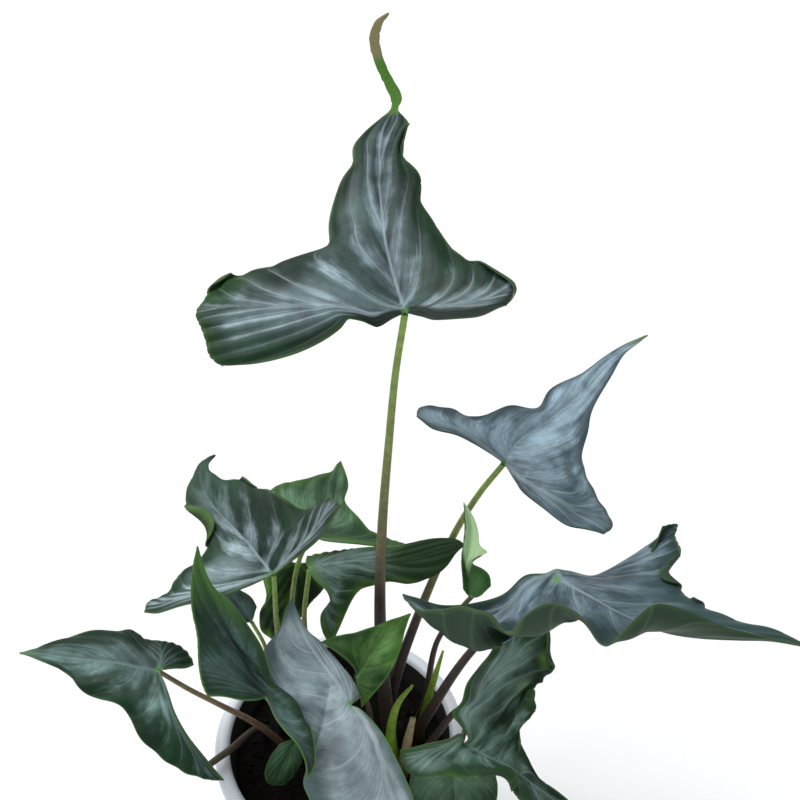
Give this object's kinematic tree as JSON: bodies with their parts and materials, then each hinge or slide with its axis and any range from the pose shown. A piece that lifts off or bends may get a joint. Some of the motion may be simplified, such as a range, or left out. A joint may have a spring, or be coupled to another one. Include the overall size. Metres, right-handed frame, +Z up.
{
  "type": "potted holy grail alocasia",
  "caption": "Potted alocasia with arrow-shaped, wavy, silvery blades on slender stalks, standing in soil in a tapered white nursery pot with a thick rim.",
  "frame": {"origin": "centre of the pot's foot, where it rests", "axes": "+Z up along the pot's axis, -Y towards the viewer of the picture, +X to the viewer's right"},
  "size_m": [0.4032, 0.234, 0.5074],
  "materials": {
    "pot_plastic": "smooth white plastic, slightly bluish, soft sheen",
    "potting_soil": "dark moist potting mix of bark and peat, rough",
    "silver_leaf": "silvery grey-green leaf with dark green margins, satin",
    "green_leaf": "green leaf with a silvery bloom along the veins, satin",
    "olive_stalk": "green to olive leaf stalk, finely streaked, satin",
    "brown_stalk": "purple-brown leaf stalk, finely streaked, satin",
    "young_shoot": "bright yellow-green young growth, satin",
    "dry_sheath": "papery tan dried sheath, matt"
  },
  "bodies": {
    "root": {"pot": "pot_plastic", "soil": "potting_soil", "blade_top": "silver_leaf", "stalk_top": "olive_stalk", "blade_right_high": "silver_leaf", "stalk_right_high": "olive_stalk", "blade_right": "silver_leaf", "stalk_right": "brown_stalk", "blade_left_high": "silver_leaf", "stalk_left_high": "olive_stalk", "blade_left": "silver_leaf", "stalk_left": "brown_stalk", "blade_front_left": "green_leaf", "stalk_front_left": "brown_stalk", "blade_front": "silver_leaf", "stalk_front": "brown_stalk", "blade_front_right": "green_leaf", "stalk_front_right": "brown_stalk", "blade_middle": "green_leaf", "stalk_middle": "brown_stalk", "blade_back": "green_leaf", "stalk_back": "olive_stalk", "blade_back_middle": "silver_leaf", "stalk_back_middle": "olive_stalk", "blade_unfurling": "green_leaf", "stalk_unfurling": "brown_stalk", "blade_low_right": "silver_leaf", "stalk_low_right": "brown_stalk", "blade_low_left": "green_leaf", "stalk_low_left": "brown_stalk", "blade_left_inner": "green_leaf", "stalk_left_inner": "olive_stalk", "blade_back_low": "green_leaf", "stalk_back_low": "olive_stalk", "rolled_shoot": "young_shoot", "green_sheath": "young_shoot", "dry_sheath": "dry_sheath", "spent_stalk": "brown_stalk"}
  },
  "joints": []
}
